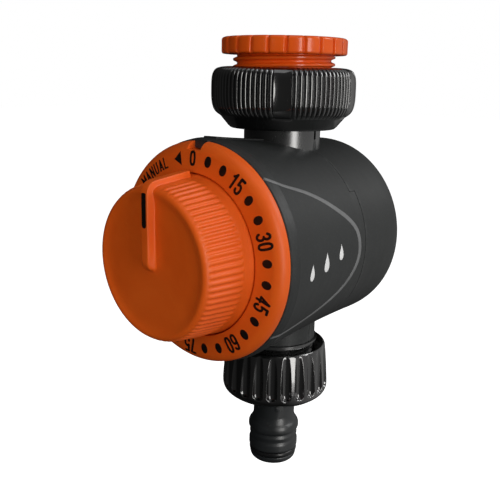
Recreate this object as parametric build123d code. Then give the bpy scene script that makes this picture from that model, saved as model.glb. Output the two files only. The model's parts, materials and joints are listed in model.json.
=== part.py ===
from build123d import *
import os
from math import sin, cos, pi, radians, degrees, tan, sqrt, atan2, acos

os.makedirs("parts", exist_ok=True)

# ---------------------------------------------------------------------------
# Drip irrigation timer: a clockwork tap timer.  Millimetres, +Z up.
# Everything is drawn about the point where the knob axis crosses the pipe
# axis, and is moved down on export so that the row origin is the centre of
# the tap-thread mouth.  The knob faces -Y, +X is to the right of a person
# who faces the dial.
# ---------------------------------------------------------------------------

# --- driving dimensions -----------------------------------------------------
Z_MOUTH = 64.9          # tap-thread mouth above the knob axis

# threads (pipe threads, parallel)
G1_MAJOR_R = 16.6       # G1 male crest
G1_ROOT_R = 15.3
G1_PITCH = 2.309
G34_MINOR_R = 12.06     # G3/4 female crest
G34_MAJOR_R = 13.2      # G3/4 male crest
G34_ROOT_R = 12.15
G34_PITCH = 1.814

# thread adaptor
RING_R = 20.4
RING_Z0 = 59.7
ADAPTOR_Z0 = 48.7
LEDGE_Z = 53.0
RING_NOTCHES = 23

# union nut
NUT_TOP = 55.9
NUT_BOT = 36.3
NUT_R = 23.7
NUT_BORE_R = 16.95
NUT_LIP_R = 10.58

# housing drum (axis Y)
HOUSE_Y0 = -34.0        # front edge
HOUSE_RF = 34.85        # radius at the front edge
HOUSE_RM = 31.94        # smallest radius
HOUSE_YM = 19.98        # where the back rounding begins
HOUSE_YB = 27.15        # back face
HOUSE_RB = 29.17        # flat back radius
HOUSE_E = 3.09          # superellipse exponent of the back rounding
WALL = 2.2
SEAM_Y = 4.2            # seam between the shells at the sides
SEAM_NECK_Y = 1.2       # and at the necks
SEAM_STEP_Z = 17.7
SEAM_GAP = 0.12
NECK_GAP = 0.55
NECK_TOP_R = 12.7
NECK_TOP_Z = 38.0
NECK_BOT_R = 13.6
NECK_BOT_Z = -36.07
BULKHEAD_T = 2.1
RIM_Y = -37.3            # front rim round the dial ring's spigot
RIM_BORE_R = 32.5
POST_R = 3.6
POST_PCR = 25.5

# dial ring and knob (axis Y)
DIAL_R = 34.05
DIAL_Y = -42.1
DIAL_HOLE_R = 25.0
KNOB_SKIRT_R = 24.5
KNOB_TOP_R = 22.75
KNOB_FACE_Y = -59.0
KNOB_BACK_Y = -38.6
FIN_W = 2.6
FIN_Y = -60.9
DIAL_STEP_DEG = 12.14   # 5 minutes on the dial

# pipe, valve
PIPE_R = 10.5
PIPE_BORE_R = 8.0
PIPE_TOP = 46.0
BLOCK_R = 17.6
BLOCK_Y0, BLOCK_Y1 = -11.0, 13.0
SHAFT_R = 3.0

# outlet connector
CON_TOP = -38.4
CON_R = 18.76
TIP_Z = -83.65
NOSE_R = 8.8            # guide land of the nose above its O-ring

# clockwork
PLATE_R = 19.5
PLATE_T = 1.0
FP_Y = -31.7            # front plate front face
RP_Y = -17.2            # rear plate front face
WHEEL1_T, WHEEL1_M = 60, 0.40
PIN2_T = 10
WHEEL2_T, WHEEL2_M = 50, 0.30
PIN3_T = 10
WHEEL3_T = 50
PIN4_T = 10
CD1 = WHEEL1_M * (WHEEL1_T + PIN2_T) / 2 + 0.06
CD2 = WHEEL2_M * (WHEEL2_T + PIN3_T) / 2 + 0.05
CD3 = CD2


# --- helpers ----------------------------------------------------------------
def poly_face(pts, plane=Plane.XY):
    return plane * make_face(Polyline(*[(a, b) for a, b in pts], close=True))


def rz(pts):
    """Solid of revolution about Z from (r, z) points."""
    return revolve(poly_face(pts, Plane.XZ), Axis.Z)


def ry(pts):
    """Solid of revolution about Y from (r, y) points."""
    return revolve(poly_face(pts, Plane.XY), Axis.Y)


def cylz(r, z0, z1, x=0.0, y=0.0):
    return Pos(x, y, (z0 + z1) / 2) * Cylinder(r, z1 - z0)


def cyly(r, y0, y1, x=0.0, z=0.0):
    return Pos(x, (y0 + y1) / 2, z) * (Rot(90, 0, 0) * Cylinder(r, y1 - y0))


def box(x0, x1, y0, y1, z0, z1):
    return Pos((x0 + x1) / 2, (y0 + y1) / 2, (z0 + z1) / 2) * Box(x1 - x0, y1 - y0, z1 - z0)


def tube_z(ro, ri, z0, z1):
    return cylz(ro, z0, z1) - cylz(ri, z0 - 1, z1 + 1)


def tube_y(ro, ri, y0, y1, x=0.0, z=0.0):
    return cyly(ro, y0, y1, x, z) - cyly(ri, y0 - 1, y1 + 1, x, z)


def prism_y(pts, y0, y1):
    """Prism along Y from (x, z) points."""
    f = poly_face(pts, Plane.XZ)                 # faces -Y
    return Pos(0, y1, 0) * extrude(f, y1 - y0)


def ring_y(major, minor, y):
    return Pos(0, y, 0) * (Rot(90, 0, 0) * Torus(major, minor))


def ring_z(major, minor, z):
    return Pos(0, 0, z) * Torus(major, minor)


def rot_y(shape, deg):
    """Turn about +Y, clockwise as seen from the front."""
    return Rot(0, deg, 0) * shape


def thread_pts(crest, root, pitch, z_hi, z_lo):
    """Truncated annular ridges, from the top down, as (r, z) points."""
    pts = []
    n = int((z_hi - z_lo) / pitch)
    for k in range(n):
        z = z_hi - k * pitch
        pts += [(root, z), (crest, z - 0.38 * pitch), (crest, z - 0.56 * pitch), (root, z - 0.94 * pitch)]
    return pts


def house_r(y):
    if y < HOUSE_YM:
        return HOUSE_RM + (HOUSE_RF - HOUSE_RM) * ((HOUSE_YM - y) / (HOUSE_YM - HOUSE_Y0)) ** 2
    return HOUSE_RM


def drum_profile(off, y_start, y_back, n1=9, n2=11):
    """Outer (or inward offset) line of the drum, front to back, as (r, y)."""
    pts = [(house_r(y_start + (HOUSE_YM - y_start) * i / (n1 - 1)) - off, y_start + (HOUSE_YM - y_start) * i / (n1 - 1))
           for i in range(n1)]
    rb = HOUSE_RB - off
    for i in range(1, n2):
        a = pi / 2 * i / (n2 - 1)
        y = HOUSE_YM + (y_back - HOUSE_YM) * sin(a) ** (2 / HOUSE_E)
        r = rb + (HOUSE_RM - off - rb) * (cos(a) if i < n2 - 1 else 0.0) ** (2 / HOUSE_E)
        pts.append((r, y))
    return pts


def drum(off, y_start, y_back):
    p = drum_profile(off, y_start, y_back)
    line = Spline(*p)
    rest = Polyline(p[-1], (0, p[-1][1]), (0, p[0][1]), p[0])
    return revolve(make_face([line.edge()] + list(rest.edges())), Axis.Y)


nodes = {}

# ---------------------------------------------------------------------------
# Thread adaptor (orange): G3/4 female for the tap, G1 male into the union nut
# ---------------------------------------------------------------------------
prof = [(G34_MINOR_R, Z_MOUTH), (19.5, Z_MOUTH), (RING_R, Z_MOUTH - 0.9), (RING_R, RING_Z0 + 0.5),
        (RING_R - 0.5, RING_Z0), (15.5, RING_Z0), (15.5, RING_Z0 - 0.5)]
prof += thread_pts(G1_MAJOR_R, G1_ROOT_R, G1_PITCH, RING_Z0 - 0.6, ADAPTOR_Z0 + 0.6)
prof += [(15.2, ADAPTOR_Z0 + 0.7), (14.5, ADAPTOR_Z0), (9.0, ADAPTOR_Z0), (9.0, LEDGE_Z), (12.9, LEDGE_Z),
         (12.9, 55.9), (G34_MINOR_R, 56.3)]
adaptor = rz(prof)
notch = box(RING_R - 0.9, RING_R + 1, -0.45, 0.45, RING_Z0 - 0.2, Z_MOUTH + 1)
az0 = 38.19 - 90 - 1.6
adaptor = adaptor - [Rot(0, 0, az0 + k * 360 / RING_NOTCHES) * notch for k in range(RING_NOTCHES)]
nodes["thread_adaptor"] = adaptor
nodes["tap_washer"] = rz([(8.8, LEDGE_Z + 0.3), (12.5, LEDGE_Z + 0.3), (12.5, 55.3), (12.2, 55.5), (8.8, 55.5)])

# ---------------------------------------------------------------------------
# Union nut (black), captive on the inlet pipe by a split ring
# ---------------------------------------------------------------------------
nut_outer = [(NUT_BORE_R, NUT_TOP), (19.3, NUT_TOP), (21.1, 55.25), (22.5, 53.95), (23.2, 52.5), (23.6, 50.6),
             (NUT_R, 48.6), (23.66, 46.4), (23.5, 44.6), (22.9, 43.0), (21.9, 41.8), (20.9, 40.9),
             (17.9, 36.9), (17.2, NUT_BOT), (13.3, NUT_BOT), (13.3, 38.6), (NUT_LIP_R, 38.6), (NUT_LIP_R, 42.2),
             (14.9, 42.2), (NUT_BORE_R, 44.0)]
nut = rz(nut_outer)
groove = cylz(0.62, 40.0, 57.0, x=NUT_R + 0.05)
cuts = []
for g in range(5):
    c = 37.8 - 90 + 36 + g * 72            # centre of a rib group
    for k in range(13):
        cuts.append(Rot(0, 0, c + (k - 6) * 4.1) * groove)
    cuts.append(Rot(0, 0, c + 36) * cylz(3.6, 35.0, 57.5, x=NUT_R + 2.35))
nut = nut - cuts
nodes["inlet_union_nut"] = nut

split = tube_z(13.2, 9.78, 42.5, 43.9) - box(-1.5, 1.5, 5, 15, 42, 44.5)
nodes["nut_retaining_ring"] = split
nodes["filter_gasket"] = rz([(8.75, 46.06), (14.4, 46.06), (14.4, 48.0), (14.1, 48.3), (8.75, 48.3)])
filt = rz([(0, 33.0), (6.9, 33.0), (7.3, 33.6), (7.3, 45.3), (8.5, 45.3), (8.5, 45.95), (6.3, 45.95),
           (6.3, 34.2), (0, 34.2)])
win = box(-1.5, 1.5, 4, 9, 35.2, 43.8)
filt = filt - [Rot(0, 0, 45 * k + 22.5) * win for k in range(8)]
filt = filt - [Rot(0, 0, 60 * k) * cylz(1.1, 32, 35, x=3.9) for k in range(6)] - cylz(1.1, 32, 35)
nodes["inlet_filter"] = filt

# ---------------------------------------------------------------------------
# Housing: front shell and rear cover
# ---------------------------------------------------------------------------
outer = drum(0.0, HOUSE_Y0, HOUSE_YB)
inner = drum(WALL, HOUSE_Y0 - 3, HOUSE_YB - WALL)
inner = inner & box(-40, 40, HOUSE_Y0 + BULKHEAD_T, 40, -40, 40)
body = outer + cylz(NECK_TOP_R, 20, NECK_TOP_Z) + cylz(NECK_BOT_R, NECK_BOT_Z, -20)
cavity = inner - cylz(NECK_TOP_R, 26.5, 40) - cylz(NECK_BOT_R, -40, -26.5)
body = body - cavity
body = body + ry([(RIM_BORE_R, HOUSE_Y0 + 1.0), (HOUSE_RF - 0.3, HOUSE_Y0 + 1.0), (HOUSE_RF, HOUSE_Y0), (34.62, -35.8), (34.3, RIM_Y + 0.25),
                  (34.05, RIM_Y), (RIM_BORE_R, RIM_Y)])
post_pos = [(POST_PCR * sin(radians(a)), POST_PCR * cos(radians(a))) for a in (45, 135, 225, 315)]
for px, pz in post_pos:
    body = body + cyly(POST_R, HOUSE_Y0 + 0.5, HOUSE_YB - 0.5, px, pz)
body = body - cylz(PIPE_R + 0.12, -45, 45)
for px, pz in post_pos:
    body = body - cyly(3.1, 24.0, 30, px, pz)

front_zone = box(-45, 45, -50, SEAM_Y - SEAM_GAP, -SEAM_STEP_Z, SEAM_STEP_Z) \
    + box(-45, 45, -50, SEAM_NECK_Y - SEAM_GAP, -50, 50)
rear_zone = box(-45, 45, SEAM_Y + SEAM_GAP, 40, -50, 50) \
    + box(-45, 45, SEAM_NECK_Y + SEAM_GAP, 40, SEAM_STEP_Z + SEAM_GAP, 50) \
    + box(-45, 45, SEAM_NECK_Y + SEAM_GAP, 40, -50, -SEAM_STEP_Z - SEAM_GAP)
front = body & front_zone - box(-16, 16, SEAM_NECK_Y - NECK_GAP, SEAM_NECK_Y, 33.2, 40)
rear = body & rear_zone - box(-16, 16, SEAM_NECK_Y, SEAM_NECK_Y + NECK_GAP, 33.2, 40)
# pilot and clearance holes of the four screws
for px, pz in post_pos:
    front = front - cyly(1.5, -10, 10, px, pz)
    rear = rear - cyly(1.75, -10, 28, px, pz)
# locating lip inside the seam, on the front shell
lip = tube_y(house_r(0) - WALL + 0.4, house_r(0) - WALL - 1.3, -2.0, SEAM_Y - SEAM_GAP) \
    + tube_y(house_r(6) - WALL - 0.12, house_r(0) - WALL - 1.3, SEAM_Y - SEAM_GAP - 1, 7.2)
lip = lip & box(-45, 45, -5, 10, -SEAM_STEP_Z + 0.6, SEAM_STEP_Z - 0.6)
for px, pz in post_pos:
    lip = lip - cyly(POST_R + 0.2, SEAM_Y - 0.5, 10, px, pz)
front = front + lip
# top spine with the key tab that locates the dial ring
spine = drum(-0.35, -36.0, HOUSE_YB + 0.35) & box(-2.5, 2.5, -34.6, -12, 20, 40)
spine = spine + box(-2.5, 2.5, -38.3, -33.5, 31.9, 34.3)
spine = spine - drum(1.2, HOUSE_Y0 + 0.4, HOUSE_YB)
front = front + spine
front = front - cyly(4.6, -36, -31, 0, 0)
# slots of the dial ring's snap legs in the bulkhead
for a in (40, 140, 220, 320):
    front = front - rot_y(box(-3.3, 3.3, -36, -31, 28.9, 31.3), a)
nodes["front_shell"] = front
nodes["rear_cover"] = rear

scr = []
for px, pz in post_pos:
    s = cyly(2.75, 24.1, 25.7, px, pz) + cyly(1.42, -8.0, 24.3, px, pz)
    s = s - box(px - 0.35, px + 0.35, 25.0, 26, pz - 1.7, pz + 1.7) - box(px - 1.7, px + 1.7, 25.0, 26, pz - 0.35, pz + 0.35)
    scr.append(s)
nodes["housing_screws"] = Compound(children=scr)

# ---------------------------------------------------------------------------
# Dial ring (orange, fixed, marked in minutes)
# ---------------------------------------------------------------------------
arc = [(30.4 + (DIAL_R - 30.4) * sin(radians(a)), -38.0 + (DIAL_Y + 38.0) * cos(radians(a))) for a in range(0, 91, 15)]
dial = ry([(DIAL_HOLE_R, DIAL_Y)] + arc + [(DIAL_R, RIM_Y - 0.12), (RIM_BORE_R - 0.15, RIM_Y - 0.12), (RIM_BORE_R - 0.15, -34.12),
          (31.0, -34.12), (31.0, -38.4), (30.2, -40.1), (26.8, -40.1), (26.8, -35.2), (DIAL_HOLE_R, -35.2)])
leg = box(-2.9, 2.9, -40.5, -30.6, 29.2, 30.6) + box(-2.9, 2.9, -31.7, -30.6, 30.2, 31.1)
for a in (40, 140, 220, 320):
    dial = dial + rot_y(leg, a)
dial = dial - box(-2.75, 2.75, -43.0, -33, 31.6, 36)
nodes["dial_ring"] = dial

# ---------------------------------------------------------------------------
# Knob with pointer fin
# ---------------------------------------------------------------------------
side = [(24.4, KNOB_BACK_Y), (KNOB_SKIRT_R, -42.3), (24.35, -43.0), (24.1, -44.5), (23.9, -47.0), (23.55, -50.5),
        (23.15, -54.0), (22.85, -56.6), (22.5, -57.9), (21.85, -58.75), (21.2, KNOB_FACE_Y), (20.5, -58.9), (19.6, -58.6)]
dish = [(18.0, -58.4), (10.0, -58.35), (0, -58.3)]
inside = [(0, -56.6), (19.0, -57.2), (20.9, -56.4), (21.8, -52.0), (22.4, -44.0), (22.6, KNOB_BACK_Y)]
knob = ry(side + dish + inside)
hub = cyly(5.6, -57.0, -41.0)
for a in (45, 135, 225, 315):
    hub = hub + rot_y(box(-0.7, 0.7, -57.0, -44.0, 5.0, 21.6), a)
knob = knob + hub
bore = cyly(SHAFT_R + 0.04, -55.4, -38) & box(-4, 4, -60, -30, -2.24, 4)
knob = knob - bore
fin_pts = [(-57.4, -1.4), (-58.6, -1.7), (-60.0, -1.0), (-60.7, 0.2), (FIN_Y, 1.4), (FIN_Y, 21.0), (-60.7, 22.2), (-60.1, 23.2),
           (-59.2, 23.9), (-58.0, 24.25), (-44.2, 25.95), (-44.2, 22.9), (-56.9, 21.0), (-57.0, 19.0)]
fin = extrude(Plane.YZ * make_face(Polyline(*fin_pts, close=True)), FIN_W / 2, both=True)
fin = fin - (cyly(1.2, -62, -50, 0, 100))
knob = knob + fin
knurl = cyly(0.42, -57.4, -45.6, 23.98, 0)
knob = knob - [rot_y(Pos(0, 0, 0) * knurl, -90 + 4.8 * k) for k in range(3, 73)]
knob = knob - box(-0.72, 0.72, -62, FIN_Y + 0.6, 10.9, 22.3)
nodes["knob"] = knob
nodes["pointer_inlay"] = box(-0.7, 0.7, FIN_Y - 0.03, FIN_Y + 0.58, 10.92, 21.6)
ringclip = tube_y(6.6, 5.64, -43.4, -42.0) - box(-0.9, 0.9, -44, -41, 4, 8)
nodes["hub_spring_ring"] = ringclip

# ---------------------------------------------------------------------------
# Valve body: inlet pipe, valve chamber, outlet spigot in one moulding
# ---------------------------------------------------------------------------
vb = cyly(BLOCK_R, BLOCK_Y0, BLOCK_Y1) + cylz(PIPE_R, 8, PIPE_TOP) + cylz(PIPE_R, -37.0, -8)
sp = [(0, -36.2), (14.4, -36.2), (14.4, -37.2), (14.0, -37.6), (12.4, -37.6), (12.4, -38.4)]
sp += thread_pts(G34_MAJOR_R, G34_ROOT_R, G34_PITCH, -38.4, -49.9)
sp += [(12.1, -49.6), (11.6, -50.0), (0, -50.0)]
vb = vb + rz(sp)
vb = vb - cyly(12.0, -12, 3.2) - cyly(9.5, 3.0, 10.5)
vb = vb - cylz(PIPE_BORE_R, 18.6, 50) - cylz(8.6, 45.2, 50)
vb = vb - box(-4.5, 4.5, -8.0, -4.6, 9, 20)
vb = vb - cylz(8.5, -55, -18.6) - box(-4.5, 4.5, 4.4, 8.4, -20, -7)
vb = vb - tube_z(12, 9.7, 42.4, 44.0)
gl_scr = [(15.6 * sin(radians(a)), 15.6 * cos(radians(a))) for a in (45, 135, 225, 315)]
for px, pz in gl_scr:
    vb = vb - cyly(0.95, -12, -4.0, px, pz)
nodes["valve_body"] = vb

gl = cyly(BLOCK_R, -13.6, BLOCK_Y0 - 0.08) + cyly(11.9, -12, -8.6) + cyly(6.2, -15.7, -13.0)
gl = gl - cyly(SHAFT_R + 0.05, -17, -8) - tube_y(13.75, 12.15, BLOCK_Y0 - 1.25, BLOCK_Y0 + 1)
for px, pz in gl_scr:
    gl = gl - cyly(1.25, -15, -8, px, pz)
nodes["valve_gland"] = gl
nodes["gland_o_ring"] = ring_y(12.95, 0.60, BLOCK_Y0 - 0.62)
gs = []
for px, pz in gl_scr:
    gs.append(cyly(1.8, -14.8, -13.66, px, pz) + cyly(0.92, -14.0, -5.0, px, pz)
              - box(px - 1.3, px + 1.3, -16, -14.4, pz - 0.25, pz + 0.25))
nodes["gland_screws"] = Compound(children=gs)

# shaft, seals and discs
sh = cyly(SHAFT_R, -55.2, -5.0) + cyly(5.0, -8.2, -6.6) + box(-2, 2, -5.2, -0.7, -2, 2)
sh = sh - box(-4, 4, -60, -37.5, -4, -2.2)
sh = sh - tube_y(4, 2.15, -14.6, -13.6) - tube_y(4, 2.15, -11.9, -10.9)
sh = sh - tube_y(4, 2.3, -35.3, -34.45) - box(-0.4, 0.4, -29, -24, 1.4, 4)
nodes["main_shaft"] = sh
nodes["shaft_o_rings"] = Compound(children=[ring_y(2.60, 0.42, -14.1), ring_y(2.60, 0.42, -11.4)])
clip = tube_y(5.6, 2.34, -35.2, -34.55) - box(-1.9, 1.9, -36, -34, 0, 8)
nodes["shaft_clip"] = clip
nodes["disc_spring"] = ry([(3.4, -6.5), (3.9, -6.5), (6.6, -3.9), (6.6, -3.45), (6.1, -3.45), (3.4, -6.05)])


def sector(r0, r1, a0, a1, y0, y1, n=16):
    """Ring sector; angles clockwise from the top as seen from the front."""
    aa = [radians(a0 + (a1 - a0) * i / n) for i in range(n + 1)]
    pts = [(r1 * sin(a), r1 * cos(a)) for a in aa] + [(r0 * sin(a), r0 * cos(a)) for a in reversed(aa)]
    return prism_y(pts, y0, y1)


rot = cyly(11.2, -3.35, -0.35) - box(-2.05, 2.05, -5, 1, -2.05, 2.05) - sector(5.2, 9.0, -10, 10, -5, 1, 4)
nodes["rotor_disc"] = rot
st = cyly(11.85, -0.3, 2.3)
for a0, a1 in ((18, 116), (124, 236), (244, 342)):
    st = st - sector(4.9, 9.2, a0, a1, -2, 4)
st = st - box(-1.0, 1.0, -1, 3, -12.2, -10.9)
nodes["stator_disc"] = st
nodes["stator_seal"] = tube_y(11.85, 9.7, 2.36, 3.14)

# ---------------------------------------------------------------------------
# Outlet: gasket, hose connector (fluted nut and nose) and its O-ring
# ---------------------------------------------------------------------------
nodes["outlet_gasket"] = rz([(8.6, -52.6), (13.2, -52.6), (13.2, -50.6), (12.9, -50.35), (8.6, -50.35)])
con = [(16.5, CON_TOP), (17.0, CON_TOP), (17.5, -39.2), (17.95, -42.5), (18.4, -47.2), (18.65, -50.7), (CON_R, -52.6),
       (18.7, -54.2), (18.45, -55.2), (18.0, -55.95), (17.3, -56.6), (16.3, -57.3), (15.4, -57.8), (14.5, -58.0),
       (9.2, -58.3), (7.9, -58.8), (7.4, -60.0), (7.4, -66.4), (7.6, -67.2), (8.1, -68.3), (8.75, -69.2), (9.05, -69.9),
       (9.12, -70.6), (9.1, -71.4), (8.9, -71.9), (8.35, -72.3), (8.2, -72.65), (8.4, -73.1), (8.6, -73.6), (8.5, -74.4),
       (8.35, -75.1), (NOSE_R, -75.9), (NOSE_R, -78.8), (8.5, -79.1), (7.3, -79.1), (7.3, -81.2), (8.35, -81.2),
       (8.2, -82.3), (7.85, -83.2), (7.3, TIP_Z), (5.6, TIP_Z),
       (5.2, -82.6), (5.2, -60.5), (7.4, -55.6), (7.4, -52.9), (13.6, -52.9), (13.6, -41.6), (15.2, -40.0), (16.5, -39.7)]
con = rz(con)
fl = cylz(1.7, -54.3, -39.6, x=CON_R + 0.35)
con = con - [Rot(0, 0, 38.19 - 90 - 2.6 + 15 * k) * fl for k in range(24)]
nodes["hose_connector"] = con
nodes["nose_o_ring"] = ring_z(7.98, 0.68, -80.15) & tube_z(9.2, 7.34, -81.1, -79.2)

# ---------------------------------------------------------------------------
# Clockwork
# ---------------------------------------------------------------------------


def rotp(p, a):
    return (p[0] * cos(a) - p[1] * sin(a), p[0] * sin(a) + p[1] * cos(a))


def gear_pts(m, n, thin=0.10, add=0.85, ded=1.15, turn=0.0):
    """Involute spur gear outline, 20 degrees, thinned teeth.  A tooth is
    centred on local angle `turn` (radians)."""
    rp, alpha = m * n / 2, radians(20)
    rb = rp * cos(alpha)
    ra, rf = rp + add * m, rp - ded * m
    half = pi / (2 * n) - thin / 2 / rp
    inv = tan(alpha) - alpha
    pts = []
    for k in range(n):
        c = turn + 2 * pi * k / n
        flank = []
        for i in range(5):
            r = max(rb, rf) + (ra - max(rb, rf)) * i / 4
            ar = acos(min(1, rb / r))
            th = half + inv - (tan(ar) - ar)
            flank.append((r, th))
        left = [(rf, min(flank[0][1] + 0.02, 0.94 * pi / n))] + flank
        pts += [(r * cos(c - t), r * sin(c - t)) for r, t in left]
        pts += [(r * cos(c + t), r * sin(c + t)) for r, t in reversed(left)]
    return pts


def gear(m, n, y0, y1, x, z, turn, bore=0.0):
    g = prism_y([(x + a, z + b) for a, b in gear_pts(m, n, turn=turn)], y0, y1)
    if bore:
        g = g - cyly(bore, y0 - 1, y1 + 1, x, z)
    return g


# arbor centres (x, z)
A2 = (CD1, 0.0)
# third arbor: CD2 from arbor 2, at radius 14.0 from the shaft


def circle_meet(p, d, rad, sign):
    pr = sqrt(p[0] ** 2 + p[1] ** 2)
    base = atan2(p[1], p[0])
    c = (pr ** 2 + rad ** 2 - d ** 2) / (2 * pr * rad)
    a = base + sign * acos(c)
    return (rad * cos(a), rad * sin(a))


A3 = circle_meet(A2, CD2, 14.4, -1)
A4 = circle_meet(A3, CD3, 14.6, -1)
VERGE_CD = 7.2
A5 = circle_meet(A4, VERGE_CD, 15.2, -1)


def mesh_turn(ca, cb, na, ta, nb):
    """Turn of gear b so that it meshes with gear a turned by ta."""
    d = atan2(cb[1] - ca[1], cb[0] - ca[0])
    # position of the line of centres within a's tooth pitch
    fa = ((d - ta) / (2 * pi / na)) % 1.0
    # b needs a gap where a has a tooth: tooth phase mirrored
    fb = (0.5 - fa) % 1.0
    return d + pi - fb * 2 * pi / nb


T1 = 0.0
T2p = mesh_turn((0, 0), A2, WHEEL1_T, T1, PIN2_T)
T2w = 0.0
T3p = mesh_turn(A2, A3, WHEEL2_T, T2w, PIN3_T)
T3w = 0.0
T4p = mesh_turn(A3, A4, WHEEL3_T, T3w, PIN4_T)

fp = cyly(PLATE_R, FP_Y, FP_Y + PLATE_T) - cyly(4.7, -40, -20)
rp = cyly(PLATE_R, RP_Y, RP_Y + PLATE_T) - cyly(SHAFT_R + 0.06, -40, -10)
for c in (A2, A3, A4, A5):
    fp = fp - cyly(0.56, -40, -20, *c)
    rp = rp - cyly(0.56, -20, -10, *c)
pil_pos = [(17.0 * sin(radians(a)), 17.0 * cos(radians(a))) for a in (25, 265, 320)]
for c in pil_pos:
    fp = fp - cyly(0.95, -40, -20, *c)
    rp = rp - cyly(0.95, -20, -10, *c)
rp = rp - [rot_y(box(-2.6, 2.6, -20, -10, 8, 14), a) for a in (290, 340)]
nodes["clock_front_plate"] = fp
nodes["clock_rear_plate"] = rp
nodes["plate_pillars"] = Compound(children=[cyly(1.7, FP_Y + PLATE_T + 0.02, RP_Y - 0.02, *c) - cyly(0.75, -40, -10, *c)
                                            for c in pil_pos])
ps = []
for c in pil_pos:
    ps.append(cyly(1.6, RP_Y + PLATE_T + 0.05, RP_Y + PLATE_T + 1.0, *c) + cyly(0.7, RP_Y - 5, RP_Y + PLATE_T + 0.5, *c)
              - box(c[0] - 1.2, c[0] + 1.2, RP_Y + PLATE_T + 0.6, -10, c[1] - 0.2, c[1] + 0.2))
nodes["plate_screws"] = Compound(children=ps)

BAR_Y0, BAR_Y1 = FP_Y + PLATE_T + 0.1, -24.0
barrel = cyly(11.4, BAR_Y0, BAR_Y1) - cyly(10.6, BAR_Y0 + 0.7, BAR_Y1 + 1) - cyly(4.0, -40, -20)
nodes["spring_barrel"] = barrel


def spiral_ribbon(r0, r1, turns, t, y0, y1, step=12):
    """Flat spiral spring as a closed ribbon prism along Y."""
    n = int(turns * 360 / step)
    inner_p, outer_p = [], []
    for i in range(n + 1):
        a = radians(i * step)
        r = r0 + (r1 - r0) * i / n
        outer_p.append(((r + t / 2) * sin(a), (r + t / 2) * cos(a)))
        inner_p.append(((r - t / 2) * sin(a), (r - t / 2) * cos(a)))
    return prism_y(outer_p + list(reversed(inner_p)), y0, y1)


nodes["mainspring"] = spiral_ribbon(3.35, 10.1, 7.25, 0.30, BAR_Y0 + 1.1, BAR_Y1 - 0.3)

W1Y = -22.6
mw = gear(WHEEL1_M, WHEEL1_T, W1Y, W1Y + 1.1, 0, 0, T1) + cyly(4.6, W1Y - 0.6, W1Y + 2.2)
mw = mw - cyly(SHAFT_R + 0.03, -30, -10)
for _a in (33, 93, 153, 213, 273, 333):
    mw = mw - cyly(2.1, -30, -10, 7.9 * sin(radians(_a)), 7.9 * cos(radians(_a)))
nodes["main_wheel"] = mw
nodes["clutch_washer"] = tube_y(5.4, SHAFT_R + 0.05, W1Y + 2.3, W1Y + 2.9)

W2Y = -20.3
w2 = gear(WHEEL2_M, WHEEL2_T, W2Y, W2Y + 0.9, *A2, T2w) + gear(WHEEL1_M, PIN2_T, W1Y - 0.8, W2Y + 0.3, *A2, T2p)
w2 = w2 + cyly(0.5, FP_Y + 0.1, RP_Y + PLATE_T - 0.1, *A2)
nodes["second_wheel"] = w2
W3Y = -18.7
w3 = gear(WHEEL2_M, WHEEL3_T, W3Y, W3Y + 0.8, *A3, T3w) + gear(WHEEL2_M, PIN3_T, W2Y - 0.5, W3Y + 0.3, *A3, T3p)
w3 = w3 + cyly(0.5, FP_Y + 0.1, RP_Y + PLATE_T - 0.1, *A3)
nodes["third_wheel"] = w3
# escape wheel: 15 pointed teeth
ESC_T, ESC_R = 15, 4.6
ep = []
for k in range(ESC_T):
    a = 2 * pi * k / ESC_T
    for r, da in ((ESC_R, 0.0), (ESC_R, 0.05), (3.5, 0.12), (3.4, 0.34)):
        ep.append((A4[0] + r * cos(a + da), A4[1] + r * sin(a + da)))
ESC_Y = -20.9
ew = prism_y(ep, ESC_Y, ESC_Y + 0.7) + gear(WHEEL2_M, PIN4_T, W3Y - 0.3, W3Y + 1.1, *A4, T4p)
ew = ew + cyly(0.5, FP_Y + 0.1, RP_Y + PLATE_T - 0.1, *A4) + cyly(1.1, ESC_Y - 0.3, ESC_Y + 2.0, *A4)
nodes["escape_wheel"] = ew
# verge (anchor) with its inertia bar, swinging on its own arbor
d45 = atan2(A4[1] - A5[1], A4[0] - A5[0])


def vp(r, a):
    return (A5[0] + r * cos(d45 + a), A5[1] + r * sin(d45 + a))


arm = [vp(2.0, pi), vp(1.7, pi / 2), vp(4.4, 0.95), vp(4.6, 0.80), vp(1.5, 0.5), vp(1.5, -0.5), vp(4.6, -0.80), vp(4.4, -0.95),
       vp(1.7, -pi / 2)]
verge = prism_y(arm, ESC_Y, ESC_Y + 0.7)
barp = [vp(4.8, pi / 2 + 0.16), vp(4.8, pi / 2 - 0.16), vp(1.2, 0.3), vp(1.2, -0.3), vp(4.8, -pi / 2 + 0.16), vp(4.8, -pi / 2 - 0.16),
        vp(1.2, pi + 0.3), vp(1.2, pi - 0.3)]
verge = verge + prism_y(barp, ESC_Y + 1.2, ESC_Y + 2.1) + cyly(0.5, FP_Y + 0.1, RP_Y + PLATE_T - 0.1, *A5)
verge = verge + cyly(1.0, ESC_Y - 0.3, ESC_Y + 2.3, *A5)
nodes["escapement_verge"] = verge

print("arbors", A2, A3, A4, A5)

# ---------------------------------------------------------------------------
for name, shape in nodes.items():
    moved = Pos(0, 0, -Z_MOUTH) * shape
    export_step(moved, f"parts/{name}.step")
    print(name, len(moved.solids()), round(moved.volume, 1))
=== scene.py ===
import json
import math

import bmesh
import bpy
import numpy as np
from mathutils import Matrix, Vector

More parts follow.
